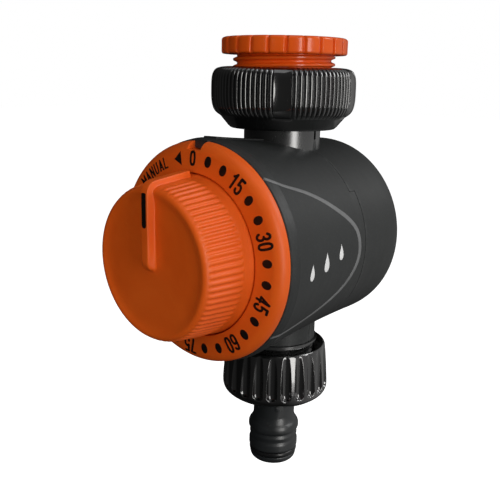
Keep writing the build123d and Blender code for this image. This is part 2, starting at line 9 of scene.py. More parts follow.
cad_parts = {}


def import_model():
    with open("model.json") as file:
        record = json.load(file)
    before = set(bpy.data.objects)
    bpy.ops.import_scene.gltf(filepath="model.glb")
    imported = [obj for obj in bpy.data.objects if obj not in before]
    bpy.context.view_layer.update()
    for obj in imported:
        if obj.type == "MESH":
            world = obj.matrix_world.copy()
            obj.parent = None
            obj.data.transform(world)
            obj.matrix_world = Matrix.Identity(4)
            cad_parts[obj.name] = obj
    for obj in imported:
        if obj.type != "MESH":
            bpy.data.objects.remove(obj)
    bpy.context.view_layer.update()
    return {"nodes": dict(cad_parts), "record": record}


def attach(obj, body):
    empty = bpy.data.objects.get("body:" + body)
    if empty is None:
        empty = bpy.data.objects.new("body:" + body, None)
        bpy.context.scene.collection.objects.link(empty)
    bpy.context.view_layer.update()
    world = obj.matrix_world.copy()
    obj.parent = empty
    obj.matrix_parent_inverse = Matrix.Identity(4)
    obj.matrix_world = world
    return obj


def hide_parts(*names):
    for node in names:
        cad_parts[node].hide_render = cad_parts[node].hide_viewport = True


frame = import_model()

MOUTH = 64.9            # the knob axis lies this far below the row origin, mm
PI = math.pi


def row(p):
    """Knob-axis millimetres to row-frame metres."""
    p = np.asarray(p, float)
    return (p - np.array([0.0, 0.0, MOUTH])) / 1000.0


# ---------------------------------------------------------------------------
# Materials
# ---------------------------------------------------------------------------
def lin(r, g, b):
    def f(c):
        c /= 255.0
        return c / 12.92 if c <= 0.04045 else ((c + 0.055) / 1.055) ** 2.4
    return (f(r), f(g), f(b), 1.0)


class Mat:
    """A small builder for node materials in object space, metres."""

    def __init__(self, name):
        self.m = bpy.data.materials.new(name)
        self.m.use_nodes = True
        self.nt = self.m.node_tree
        self.nt.nodes.clear()
        self.out = self.nt.nodes.new("ShaderNodeOutputMaterial")
        self.bsdf = self.nt.nodes.new("ShaderNodeBsdfPrincipled")
        self.nt.links.new(self.bsdf.outputs[0], self.out.inputs[0])
        self.tc = self.nt.nodes.new("ShaderNodeTexCoord")
        self.m.diffuse_color = (0.5, 0.5, 0.5, 1)

    def node(self, kind, **kw):
        n = self.nt.nodes.new(kind)
        for k, v in kw.items():
            setattr(n, k, v)
        return n

    def link(self, a, b):
        self.nt.links.new(a, b)

    def coords(self, scale=(1, 1, 1), loc=(0, 0, 0), rot=(0, 0, 0)):
        mp = self.node("ShaderNodeMapping")
        mp.inputs["Scale"].default_value = scale
        mp.inputs["Location"].default_value = loc
        mp.inputs["Rotation"].default_value = rot
        self.link(self.tc.outputs["Object"], mp.inputs["Vector"])
        return mp.outputs["Vector"]

    def noise(self, scale, detail=3.0, rough=0.55, vec=None, distortion=0.0):
        n = self.node("ShaderNodeTexNoise")
        n.inputs["Scale"].default_value = scale
        n.inputs["Detail"].default_value = detail
        n.inputs["Roughness"].default_value = rough
        n.inputs["Distortion"].default_value = distortion
        self.link(vec if vec is not None else self.tc.outputs["Object"], n.inputs["Vector"])
        return n.outputs["Fac"]

    def voronoi(self, scale, feature="F1", vec=None):
        n = self.node("ShaderNodeTexVoronoi", feature=feature)
        n.inputs["Scale"].default_value = scale
        self.link(vec if vec is not None else self.tc.outputs["Object"], n.inputs["Vector"])
        return n.outputs["Distance"]

    def ramp(self, fac, stops):
        n = self.node("ShaderNodeValToRGB")
        e = n.color_ramp.elements
        while len(e) < len(stops):
            e.new(0.5)
        for k, (pos, col) in enumerate(stops):
            e[k].position = pos
            e[k].color = col if len(col) == 4 else (*col, 1)
        self.link(fac, n.inputs["Fac"])
        return n.outputs["Color"]

    def span(self, fac, lo, hi, a=0.3, b=0.7):
        n = self.node("ShaderNodeMapRange")
        n.inputs["From Min"].default_value = a
        n.inputs["From Max"].default_value = b
        n.inputs["To Min"].default_value = lo
        n.inputs["To Max"].default_value = hi
        self.link(fac, n.inputs["Value"])
        return n.outputs["Result"]

    def math(self, op, a, b):
        n = self.node("ShaderNodeMath", operation=op)
        for k, v in enumerate((a, b)):
            if isinstance(v, (int, float)):
                n.inputs[k].default_value = v
            else:
                self.link(v, n.inputs[k])
        return n.outputs[0]

    def mix(self, fac, a, b, blend="MIX"):
        n = self.node("ShaderNodeMix", data_type="RGBA", blend_type=blend)
        for key, v in ((0, fac), (6, a), (7, b)):
            if isinstance(v, (int, float, tuple)):
                n.inputs[key].default_value = v
            else:
                self.link(v, n.inputs[key])
        return n.outputs[2]

    def bump(self, height, strength, distance):
        n = self.node("ShaderNodeBump")
        n.inputs["Strength"].default_value = strength
        n.inputs["Distance"].default_value = distance
        self.link(height, n.inputs["Height"])
        if getattr(self, "last_normal", None) is not None:
            self.link(self.last_normal, n.inputs["Normal"])
        self.last_normal = n.outputs["Normal"]
        self.link(n.outputs["Normal"], self.bsdf.inputs["Normal"])

    def set(self, **kw):
        for k, v in kw.items():
            name = k.replace("_", " ")
            key = {"Base Color": "Base Color", "IOR": "IOR"}.get(name, name)
            sock = self.bsdf.inputs[key]
            if isinstance(v, (int, float, tuple)):
                sock.default_value = v
            else:
                self.link(v, sock)
        return self

    def edge(self, lo=0.52, hi=0.60):
        g = self.node("ShaderNodeNewGeometry")
        return self.span(g.outputs["Pointiness"], 0.0, 1.0, lo, hi)


def moulded(name, dark, light, rough=(0.3, 0.4), grain=2600, grain_depth=0.000012, flow=60, wear=None,
            wear_amount=0.25, coat=0.0, coat_rough=0.1, spec=0.5, speck=None, sss=0.0, scuffs=0.0, waviness=0.0, coat_ior=1.5):
    """Injection-moulded plastic: slow colour drift, fine surface grain, light scuffs and rubbed edges."""
    m = Mat(name)
    drift = m.noise(flow, 4.0, 0.6, distortion=0.6)
    fine = m.noise(grain, 2.0, 0.5)
    col = m.ramp(drift, [(0.30, dark), (0.70, light)])
    if speck is not None:
        dots = m.noise(1900, 1.0, 0.4)
        col = m.mix(m.span(dots, 0.0, 0.35, 0.60, 0.72), col, speck)
    if wear is not None:
        patch = m.span(m.noise(420, 3.0, 0.65), 0.0, 1.0, 0.42, 0.66)
        w = m.math("MULTIPLY", m.edge(), patch)
        col = m.mix(m.math("MULTIPLY", w, wear_amount), col, wear)
    m.set(**{"Base Color": col})
    smear = m.noise(170, 5.0, 0.65, vec=m.coords(scale=(1.0, 1.0, 0.35)))
    r = m.span(smear, rough[0], rough[1], 0.32, 0.68)
    if scuffs:
        s = m.noise(380, 6.0, 0.7, vec=m.coords(scale=(0.25, 1.0, 3.5), rot=(0.5, 0.3, 0.9)))
        r = m.math("ADD", r, m.math("MULTIPLY", m.span(s, 0.0, 1.0, 0.60, 0.75), scuffs))
    m.set(Roughness=r, **{"Specular IOR Level": spec})
    if coat:
        m.set(**{"Coat Weight": coat, "Coat Roughness": coat_rough, "Coat IOR": coat_ior})
    if sss:
        m.set(**{"Subsurface Weight": sss, "Subsurface Scale": 0.001, "Subsurface Radius": (1.0, 0.35, 0.12)})
    if waviness:
        m.bump(m.noise(95, 1.0, 0.4), 1.0, waviness)
    m.bump(fine, 0.6, grain_depth)
    return m.m


ORANGE = moulded("orange_plastic_fine", lin(228, 91, 20), lin(239, 101, 27), rough=(0.38, 0.46), grain=3200,
                 grain_depth=0.000010, flow=45, wear=lin(248, 128, 56), wear_amount=0.25, sss=0.06, spec=0.35, scuffs=0.10,
                 waviness=0.00002)
ORANGE_GLOSS = moulded("orange_plastic_gloss", lin(228, 86, 18), lin(239, 98, 26), rough=(0.15, 0.22), grain=2400,
                       grain_depth=0.000006, flow=55, wear=lin(250, 140, 80), wear_amount=0.3, sss=0.05, scuffs=0.08,
                       waviness=0.00002)
CHARCOAL = moulded("charcoal_plastic_satin", lin(37, 39, 39), lin(44, 46, 46), rough=(0.42, 0.52), grain=3600,
                   grain_depth=0.000022, flow=35, wear=lin(92, 94, 94), wear_amount=0.4, speck=lin(60, 62, 62),
                   scuffs=0.10)
CHARCOAL_SMOOTH = moulded("charcoal_plastic_smooth", lin(34, 36, 36), lin(42, 44, 44), rough=(0.26, 0.34), grain=2800,
                          grain_depth=0.000008, flow=70, wear=lin(90, 92, 92), wear_amount=0.35, scuffs=0.10)
GLOSS_BLACK = moulded("gloss_black_plastic", lin(9, 10, 10), lin(14, 15, 15), rough=(0.12, 0.18), grain=1900,
                      grain_depth=0.000001, flow=80, wear=lin(70, 72, 72), wear_amount=0.45, scuffs=0.06,
                      waviness=0.0, spec=1.0, coat=1.0, coat_rough=0.10, coat_ior=1.7)
NECK_BLACK = moulded("polished_black_neck", lin(22, 23, 23), lin(30, 31, 31), rough=(0.24, 0.32), grain=1900,
                     grain_depth=0.000006, flow=80, wear=lin(70, 72, 72), wear_amount=0.3, scuffs=0.12,
                     waviness=0.00004, spec=1.0, coat=1.0, coat_rough=0.20, coat_ior=1.8)
NOSE_BLACK = moulded("satin_black_plastic", lin(26, 29, 30), lin(35, 38, 40), rough=(0.30, 0.40), grain=2600,
                     grain_depth=0.000010, flow=90, wear=lin(80, 84, 86), wear_amount=0.4, scuffs=0.15, spec=0.9)
INLAY = moulded("black_inlay_ink", lin(8, 8, 8), lin(16, 14, 13), rough=(0.35, 0.5), grain=4200,
                grain_depth=0.000010, flow=300)
MARKING = moulded("printed_marking_ink", lin(14, 11, 10), lin(26, 20, 17), rough=(0.42, 0.55), grain=5200,
                  grain_depth=0.000008, flow=600, spec=0.3)
STRIPE = moulded("printed_grey_stripe", lin(108, 109, 110), lin(120, 121, 122), rough=(0.38, 0.48), grain=4200,
                 grain_depth=0.000008, flow=200, scuffs=0.1)
WHITE_INK = moulded("printed_white_ink", lin(235, 236, 237), lin(247, 247, 247), rough=(0.38, 0.5), grain=4200,
                    grain_depth=0.000008, flow=260, scuffs=0.1)
RUBBER = moulded("seal_rubber_matte", lin(18, 18, 19), lin(28, 28, 29), rough=(0.55, 0.7), grain=2400,
                 grain_depth=0.00002, flow=120, spec=0.35)
ORING = moulded("o_ring_rubber_greased", lin(16, 17, 18), lin(24, 25, 26), rough=(0.22, 0.32), grain=2600,
                grain_depth=0.000008, flow=160, spec=0.5)
WHITE_PLASTIC = moulded("white_acetal", lin(222, 222, 214), lin(236, 236, 230), rough=(0.32, 0.42), grain=2600,
                        grain_depth=0.00001, flow=60, sss=0.1)
VALVE = moulded("valve_grey_plastic", lin(112, 116, 118), lin(132, 136, 138), rough=(0.38, 0.5), grain=2200,
                grain_depth=0.00002, flow=50, speck=lin(150, 152, 152))
CERAMIC = moulded("lapped_ceramic", lin(226, 224, 216), lin(240, 238, 232), rough=(0.12, 0.2), grain=5200,
                  grain_depth=0.000004, flow=220)


def metal(name, dark, light, rough=(0.2, 0.35), brush=(0.12, 1.0, 1.0), scale=2600, depth=0.000008, tarnish=None):
    m = Mat(name)
    lines = m.noise(scale, 3.0, 0.6, vec=m.coords(scale=brush))
    drift = m.noise(120, 4.0, 0.6)
    col = m.ramp(drift, [(0.3, dark), (0.7, light)])
    if tarnish is not None:
        col = m.mix(m.span(m.noise(260, 5.0, 0.7), 0.0, 0.6, 0.55, 0.75), col, tarnish)
    m.set(**{"Base Color": col, "Metallic": 1.0})
    m.set(Roughness=m.span(lines, rough[0], rough[1], 0.35, 0.65))
    m.bump(lines, 0.5, depth)
    return m.m


STEEL = metal("turned_steel", lin(168, 168, 166), lin(190, 190, 188), tarnish=lin(130, 128, 122))
BRASS = metal("brushed_brass", lin(196, 160, 88), lin(216, 182, 108), brush=(1.0, 0.12, 1.0), tarnish=lin(150, 112, 60))
SPRING = metal("blued_spring_steel", lin(92, 98, 112), lin(120, 126, 138), rough=(0.22, 0.34), tarnish=lin(60, 66, 90))

slot_of = {}
for entry in frame["record"].get("materials", []):
    for n in entry.get("nodes", []) or []:
        slot_of[n] = entry.get("slot")
SLOT_MATERIAL = {"orange_plastic": ORANGE, "charcoal_plastic": CHARCOAL, "gloss_black": GLOSS_BLACK,
                 "black_inlay": INLAY, "seal_rubber": RUBBER, "white_plastic": WHITE_PLASTIC,
                 "valve_plastic": NECK_BLACK, "ceramic": CERAMIC, "steel": STEEL, "brass": BRASS,
                 "spring_steel": SPRING}
NODE_SLOT = {
    "thread_adaptor": "orange_plastic", "tap_washer": "seal_rubber", "inlet_union_nut": "gloss_black",
    "nut_retaining_ring": "white_plastic", "filter_gasket": "seal_rubber", "inlet_filter": "white_plastic",
    "front_shell": "charcoal_plastic", "rear_cover": "charcoal_plastic", "housing_screws": "steel",
    "dial_ring": "orange_plastic", "knob": "orange_plastic", "pointer_inlay": "black_inlay",
    "hub_spring_ring": "spring_steel", "valve_body": "valve_plastic", "valve_gland": "valve_plastic",
    "gland_o_ring": "seal_rubber", "gland_screws": "steel", "main_shaft": "brass", "shaft_o_rings": "seal_rubber",
    "shaft_clip": "spring_steel", "disc_spring": "spring_steel", "rotor_disc": "ceramic", "stator_disc": "ceramic",
    "stator_seal": "seal_rubber", "outlet_gasket": "seal_rubber", "hose_connector": "gloss_black",
    "nose_o_ring": "seal_rubber", "clock_front_plate": "brass", "clock_rear_plate": "brass",
    "plate_pillars": "steel", "plate_screws": "steel", "spring_barrel": "brass", "mainspring": "spring_steel",
    "main_wheel": "brass", "clutch_washer": "spring_steel", "second_wheel": "brass", "third_wheel": "brass",
    "escape_wheel": "brass", "escapement_verge": "steel"}
for n, o in frame["nodes"].items():
    s = slot_of.get(n) or NODE_SLOT.get(n, "charcoal_plastic")
    mat = SLOT_MATERIAL.get(s, CHARCOAL)
    if not o.material_slots:
        o.data.materials.append(mat)
    else:
        for k in range(len(o.material_slots)):
            o.material_slots[k].material = mat


for n in ("front_shell", "rear_cover"):
    o = frame["nodes"][n]
    o.data.materials.append(NECK_BLACK)
    last = len(o.data.materials) - 1
    mw = o.matrix_world
    for p in o.data.polygons:
        c = mw @ p.center
        h = c.z * 1000 + MOUTH
        if math.hypot(c.x, c.y) * 1000 < 13.3 and abs(h) > 31.5:
            p.material_index = last

# ---------------------------------------------------------------------------
# Mesh helpers (millimetres in the knob frame)
# ---------------------------------------------------------------------------
def add(name, V, F, mat, body, smooth=True, standin=()):
    me = bpy.data.meshes.new(name)
    me.from_pydata(row(V).tolist(), [], [list(map(int, f)) for f in F])
    me.validate()
    bm = bmesh.new()
    bm.from_mesh(me)
    bmesh.ops.recalc_face_normals(bm, faces=bm.faces[:])
    bm.to_mesh(me)
    bm.free()
    if smooth:
        me.shade_smooth()
    o = bpy.data.objects.new(name, me)
    bpy.context.scene.collection.objects.link(o)
    o.data.materials.append(mat)
    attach(o, body)
    if standin:
        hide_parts(*standin)
    return o


def sweep(P, close_u=True, close_v=True, cap=False):
    """Quads over a (nu, nv, 3) grid; returns vertices and faces."""
    nu, nv = P.shape[:2]
    V = P.reshape(-1, 3)
    F = []
    for i in range(nu if close_u else nu - 1):
        a, b = i * nv, ((i + 1) % nu) * nv
        for j in range(nv if close_v else nv - 1):
            k = (j + 1) % nv
            F.append((a + j, b + j, b + k, a + k))
    return V, F


def fillet(pts, r=0.3, n=3, closed=True, step=0.7):
    """Rounds every corner of a polyline and divides its long runs."""
    pts = [np.array(p[:2], float) for p in pts]
    rad = [r] * len(pts)
    out = []
    m = len(pts)
    for i in range(m):
        p = pts[i]
        if not closed and i in (0, m - 1):
            out.append(p)
            continue
        a, b = pts[i - 1], pts[(i + 1) % m]
        la, lb = np.linalg.norm(a - p), np.linalg.norm(b - p)
        t = min(rad[i], 0.45 * la, 0.45 * lb)
        q0, q1 = p + (a - p) / la * t, p + (b - p) / lb * t
        for k in range(n + 1):
            s = k / n
            out.append((1 - s) ** 2 * q0 + 2 * s * (1 - s) * p + s * s * q1)
    res = []
    for i in range(len(out) if closed else len(out) - 1):
        a, b = out[i], out[(i + 1) % len(out)]
        k = max(1, int(np.ceil(np.linalg.norm(b - a) / step)))
        for j in range(k):
            res.append(a + (b - a) * j / k)
    if not closed:
        res.append(out[-1])
    keep = [res[0]]
    for p in res[1:]:
        if np.linalg.norm(p - keep[-1]) > 1e-4:
            keep.append(p)
    return np.array(keep)


def sm(x):
    x = np.clip(x, 0.0, 1.0)
    return x * x * (3 - 2 * x)


def smin(a, b, k):
    h = np.clip(0.5 + 0.5 * (b - a) / k, 0, 1)
    return b * (1 - h) + a * h - k * h * (1 - h)


def wrap(a, pitch, centre=0.0):
    """Signed angle to the nearest of the centres, in the units of pitch."""
    return (a - centre + pitch / 2) % pitch - pitch / 2


CAM_ANGLE = math.degrees(math.atan2(-190.04, 149.5))


def lathe_z(prof, th, shape=None):
    """(nu, nv, 3) grid about Z from an (r, z) loop; shape(theta, r, z) gives new r, z."""
    T, R = np.meshgrid(th, prof[:, 0], indexing="ij")
    Z = np.broadcast_to(prof[:, 1], T.shape).copy()
    if shape is not None:
        R, Z = shape(T, R, Z)
    return np.stack([R * np.cos(T), R * np.sin(T), Z], -1)


def lathe_y(prof, th, shape=None):
    """(nu, nv, 3) grid about Y from an (r, y) loop; theta is clockwise from the top seen from the front."""
    T, R = np.meshgrid(th, prof[:, 0], indexing="ij")
    Y = np.broadcast_to(prof[:, 1], T.shape).copy()
    if shape is not None:
        R, Y = shape(T, R, Y)
    return np.stack([R * np.sin(T), Y, R * np.cos(T)], -1)


def ring_angles(n):
    return np.linspace(0, 2 * PI, n, endpoint=False)


# ---------------------------------------------------------------------------
# Thread adaptor
# ---------------------------------------------------------------------------
def helix_mod(T, R, Z, pitch, depth, z_lo, z_hi, fade, r_lo, r_hi, sign):
    """Rounded helical ridge on the wall points with r_lo < r < r_hi and z_lo < z < z_hi."""
    ph = (Z / pitch - T / (2 * PI)) % 1.0
    tri = 1 - np.abs(2 * ph - 1)
    ridge = sm(np.clip((tri - 0.18) / 0.60, 0, 1))
    win = sm((Z - z_lo) / fade) * sm((z_hi - Z) / fade)
    on = (R > r_lo) & (R < r_hi)
    return R + np.where(on, sign * depth * ridge * win, 0.0)


def adaptor():
    male_root, male_crest = 15.35, 16.62
    z_steps = np.arange(59.25, 48.95, -0.14)
    prof = [(12.25, 64.9), (19.75, 64.9), (20.4, 64.35), (20.4, 60.2), (20.05, 59.7), (16.2, 59.62), (15.5, 59.5)]
    top = fillet(prof, 0.35, 4, closed=False, step=0.5)
    male = np.array([(male_root, z) for z in z_steps])
    low = fillet([(male_root, 48.95), (15.0, 48.7), (9.2, 48.7), (9.0, 48.9), (9.0, 52.8), (9.2, 53.0), (12.7, 53.0),
                  (12.9, 53.2), (12.9, 55.7), (12.45, 56.1)], 0.15, 2, closed=False, step=0.6)
    zf = np.arange(56.3, 64.6, 0.14)
    female = np.array([(12.45, z) for z in zf])
    loop = np.vstack([top, male, low, female, [(12.3, 64.75)]])
    n = 23 * 34
    th = ring_angles(n)
    notch0 = math.radians(CAM_ANGLE + 1.6)
    pitch = 2 * PI / 23

    def shape(T, R, Z):
        outer = (R > 17.2) & (Z > 59.55)
        d = np.abs(wrap(T, pitch, notch0)) * 20.4            # arc distance to a notch centre, mm
        u = np.clip(1 - d / (pitch * 20.4 / 2), 0, 1)
        belly = 0.20 * (u ** 3)                                # facets fall away towards the notches
        groove = 0.78 * (1 - sm((d - 0.10) / 0.62))
        reach = sm((R - 18.6) / 1.3)                           # notches run out on the top face
        R2 = np.where(outer, R - (belly + groove) * reach, R)
        R2 = helix_mod(T, R2, Z, 2.309, male_crest - male_root, 49.0, 60.4, 0.9, 15.2, 15.40, 1.0)
        R2 = helix_mod(T, R2, Z, 1.814, 0.36, 56.5, 64.4, 0.5, 12.40, 12.5, -1.0)
        return R2, Z

    P = lathe_z(loop, th, shape)
    V, F = sweep(P)
    return add("thread_adaptor_body", V, F, ORANGE_GLOSS, "thread_adaptor",
               standin=("thread_adaptor",))


adaptor()


# ---------------------------------------------------------------------------
# Union nut
# ---------------------------------------------------------------------------
def union_nut():
    outer = fillet([(17.1, 55.8), (18.9, 55.8), (20.6, 55.62), (21.9, 55.2), (22.6, 54.7), (23.1, 53.9), (23.45, 52.9), (23.63, 51.6),
                    (23.7, 49.5), (23.7, 46.8), (23.6, 45.0), (23.35, 43.5), (22.95, 42.3), (22.3, 41.3), (21.5, 40.65),
                    (20.6, 40.1)],
                   0.6, 4, closed=False, step=0.3)
    lower = fillet([(20.6, 40.1), (17.95, 36.95), (17.2, 36.3), (13.3, 36.3), (13.3, 38.6), (10.58, 38.6), (10.58, 42.2),
                    (14.9, 42.2), (15.5, 43.4), (16.95, 44.0), (16.95, 55.6)], 0.3, 3, closed=False, step=0.8)
    loop = np.vstack([outer, lower[1:]])
    gap0 = math.radians(37.8 - 90)
    pitch5 = 2 * PI / 5
    th = ring_angles(5 * 14 * 26)

    def shape(T, R, Z):
        wall = (R > 17.6) & (Z > 40.15) & (Z < 55.83)
        gd = np.degrees(wrap(T, pitch5, gap0 + pitch5 / 2))   # from a rib group's centre
        s = 36.0 - np.abs(gd)                                  # from the nearest gap's centre
        u = np.abs(wrap(gd, 4.1, 2.05)) / 2.05
        rib = 1 - u ** 2.8
        root = np.interp(Z, [40.1, 40.6, 41.3, 42.3, 43.5, 45.0, 48.5, 51.6, 53.9, 54.8, 55.4, 55.8],
                         [20.6, 21.1, 21.5, 22.0, 22.45, 22.75, 22.85, 22.78, 22.2, 21.6, 20.9, 19.6])
        depth = np.clip(R - root, 0.0, 0.85) * sm((R - 19.6) / 1.0)
        ribbed = R - depth * (1 - rib) * sm((s - 6.6) / 0.7)
        ga = 7.3 + 2.7 * np.clip((Z - 48.5) / 7.2, -1, 1) ** 2
        rc, c = 9.0, 31.95

        def rise(deg):
            q = np.radians(np.minimum(deg, 15.0))
            return c * np.cos(q) - np.sqrt(np.maximum(rc * rc - (c * np.sin(q)) ** 2, 0.0)) - 22.95

        hollow = R - 0.75 * sm((R - 19.6) / 1.0) * (1 - np.minimum(rise(s) / rise(ga), 3.0))
        R2 = np.where(wall, np.minimum(smin(ribbed, hollow, 0.10), R), R)
        return R2, Z

    V, F = sweep(lathe_z(loop, th, shape))
    return add("inlet_union_nut_body", V, F, GLOSS_BLACK, "union_nut", standin=("inlet_union_nut",))


union_nut()


# ---------------------------------------------------------------------------
# Hose connector and its nose ring
# ---------------------------------------------------------------------------
def connector():
    loop = fillet([(16.5, -38.4), (17.0, -38.4), (17.5, -39.2), (17.95, -42.5), (18.4, -47.2), (18.65, -50.7),
                   (18.76, -52.6), (18.7, -54.2), (18.45, -55.2), (18.0, -55.95), (17.3, -56.6), (16.3, -57.3),
                   (15.4, -57.8), (14.5, -58.0), (9.2, -58.3), (7.9, -58.8), (7.4, -60.0), (7.4, -66.4), (7.6, -67.2),
                   (8.1, -68.3), (8.75, -69.2), (9.05, -69.9), (9.1, -70.6), (9.08, -71.3), (8.9, -71.8), (8.3, -72.2),
                   (8.15, -72.6), (8.35, -73.05), (8.6, -73.5), (8.62, -73.9), (8.42, -74.7), (8.32, -75.3), (8.6, -75.8),
                   (8.8, -76.3), (8.8, -78.5), (8.62, -78.95), (8.3, -79.1), (7.35, -79.12), (7.3, -81.18), (8.3, -81.2),
                   (8.4, -81.5), (8.22, -82.4), (7.85, -83.1), (7.3, -83.6), (7.0, -83.65), (5.6, -83.65), (5.2, -82.6), (5.2, -60.5), (7.4, -55.6),
                   (7.4, -52.9), (13.6, -52.9), (13.6, -41.6), (15.2, -40.0), (16.5, -39.7)], 0.35, 3, closed=True, step=0.32)
    th = ring_angles(24 * 44)
    pitch = 2 * PI / 24
    f0 = math.radians(38.19 - 90 - 2.6)

    def shape(T, R, Z):
        wall = (R > 16.2) & (Z < -38.5) & (Z > -57.5)
        d = wrap(T, pitch, f0)
        zb = -52.5
        rc0, c = 1.9, 19.15
        rc2 = rc0 ** 2 - np.where(Z < zb, (Z - zb) ** 2, 0.0)
        q = rc2 - (c * np.sin(d)) ** 2
        rs = np.where(q > 0, c * np.cos(d) - np.sqrt(np.maximum(q, 0)), 40.0)
        R2 = np.where(wall, smin(R, rs, 0.22), R)
        # small moulded lugs where the neck leaves the nut
        lug = (1 - sm((np.abs(wrap(T, PI / 3, f0 + 0.2)) * 8 - 0.5) / 0.5)) * sm((-61.3 - Z) / 0.3) * sm((Z + 63.3) / 0.5)
        R2 = R2 + np.where((R < 8.2) & (R > 7.2) & (Z < -60.5) & (Z > -64), 0.22 * lug, 0.0)
        return R2, Z

    P = lathe_z(loop, th, shape)
    V, F = sweep(P)
    o = add("hose_connector_body", V, F, GLOSS_BLACK, "hose_connector", standin=("hose_connector",))
    o.data.materials.append(NOSE_BLACK)
    for p in o.data.polygons:
        if p.center.z * 1000 + MOUTH < -59.2 and math.hypot(p.center.x, p.center.y) * 1000 > 5.5:
            p.material_index = 1
    # O-ring
    a = np.linspace(0, 2 * PI, 20, endpoint=False)
    sec = np.stack([7.98 + 0.67 * np.cos(a), -80.15 + 0.88 * np.sin(a)], -1)
    V, F = sweep(lathe_z(sec, ring_angles(180)))
    add("nose_o_ring_body", V, F, ORING, "hose_connector", standin=("nose_o_ring",))


connector()


# ---------------------------------------------------------------------------
# Dial ring with printed marks
# ---------------------------------------------------------------------------
DIAL_CONE = 0.09


def dial_y(r):
    flat = -42.15 + DIAL_CONE * np.maximum(r - 25.4, 0.0)
    k = np.clip((r - 30.4) / 3.65, 0.0, 1.0)
    return np.where(r > 30.4, -38.0 - (4.15 - DIAL_CONE * 5.0) * np.sqrt(1 - k * k), flat)


def dial():
    arc = [(30.4 + 3.65 * math.sin(a), -38.0 - (4.15 - DIAL_CONE * 5.0) * math.cos(a))
           for a in np.radians(np.arange(0, 91, 10))]
    loop = fillet([(25.0, -42.15)] + arc + [(34.05, -37.42), (32.35, -37.42), (32.35, -34.12), (31.0, -34.12), (31.0, -38.4),
                   (30.2, -40.1), (26.8, -40.1), (26.8, -35.2), (25.0, -35.2)], 0.24, 3, closed=True, step=0.45)
    V, F = sweep(lathe_y(loop, ring_angles(540)))
    ring = add("dial_ring_body", V, F, ORANGE, "housing", standin=("dial_ring",))
    # the open slot for the housing's key
    x0, x1, y0, y1, z0, z1 = -2.75, 2.75, -45.0, -33.0, 31.6, 37.0
    c = [(x, y, z) for x in (x0, x1) for y in (y0, y1) for z in (z0, z1)]
    q = [(0, 1, 3, 2), (4, 6, 7, 5), (0, 4, 5, 1), (2, 3, 7, 6), (0, 2, 6, 4), (1, 5, 7, 3)]
    me = bpy.data.meshes.new("slot_cut")
    me.from_pydata(row(c).tolist(), [], q)
    cut = bpy.data.objects.new("slot_cut", me)
    bpy.context.scene.collection.objects.link(cut)
    bm = bmesh.new(); bm.from_mesh(me); bmesh.ops.recalc_face_normals(bm, faces=bm.faces[:]); bm.to_mesh(me); bm.free()
    apply_boolean(ring, cut)
    return ring


def apply_boolean(o, cutter, op="DIFFERENCE"):
    mod = o.modifiers.new("cut", "BOOLEAN")
    mod.operation = op
    mod.object = cutter
    mod.solver = "EXACT"
    dg = bpy.context.evaluated_depsgraph_get()
    new = bpy.data.meshes.new_from_object(o.evaluated_get(dg))
    mats = [m for m in o.data.materials]
    o.modifiers.clear()
    o.data = new
    o.data.materials.clear()
    for m in mats:
        o.data.materials.append(m)
    bpy.data.objects.remove(cutter)
    o.data.shade_smooth()
    mod2 = o.modifiers.new("edges", "EDGE_SPLIT")
    mod2.split_angle = math.radians(38)


dial()

MARK_R = 29.2
STEP = math.radians(12.14)


def on_dial(u, v, a, lift):
    """Local (u clockwise, v outward) mm at dial angle a onto the ring face."""
    r = MARK_R + v
    x = r * math.sin(a) + u * math.cos(a)
    z = r * math.cos(a) - u * math.sin(a)
    rr = math.hypot(x, z)
    return (x, float(dial_y(np.array(rr))) - lift, z)


def dot(name, a, hu=1.25, hv=1.65):
    """A printed oval, slightly raised, domed at its edge."""
    V, F = [], []
    rings = [(1.0, -0.05), (1.0, 0.035), (0.96, 0.055), (0.6, 0.06), (0.25, 0.06)]
    n = 40
    for s, lift in rings:
        for k in range(n):
            t = 2 * PI * k / n
            V.append(on_dial(hu * s * math.cos(t), hv * s * math.sin(t), a, lift))
    for i in range(len(rings) - 1):
        for k in range(n):
            j = (k + 1) % n
            F.append((i * n + k, i * n + j, (i + 1) * n + j, (i + 1) * n + k))
    F.append([(len(rings) - 1) * n + k for k in range(n)])
    F.append([n - 1 - k for k in range(n)])
    return add(name, V, F, MARKING, "housing")


def oval(cx, cy, rx, ry, a0, a1, n=22, e=1.0):
    """Points on an ellipse from a0 to a1 degrees; e below 1 squares it off."""
    out = []
    for k in range(n + 1):
        t = math.radians(a0 + (a1 - a0) * k / n)
        c, s = math.cos(t), math.sin(t)
        out.append((cx + rx * math.copysign(abs(c) ** e, c), cy + ry * math.copysign(abs(s) ** e, s)))
    return out


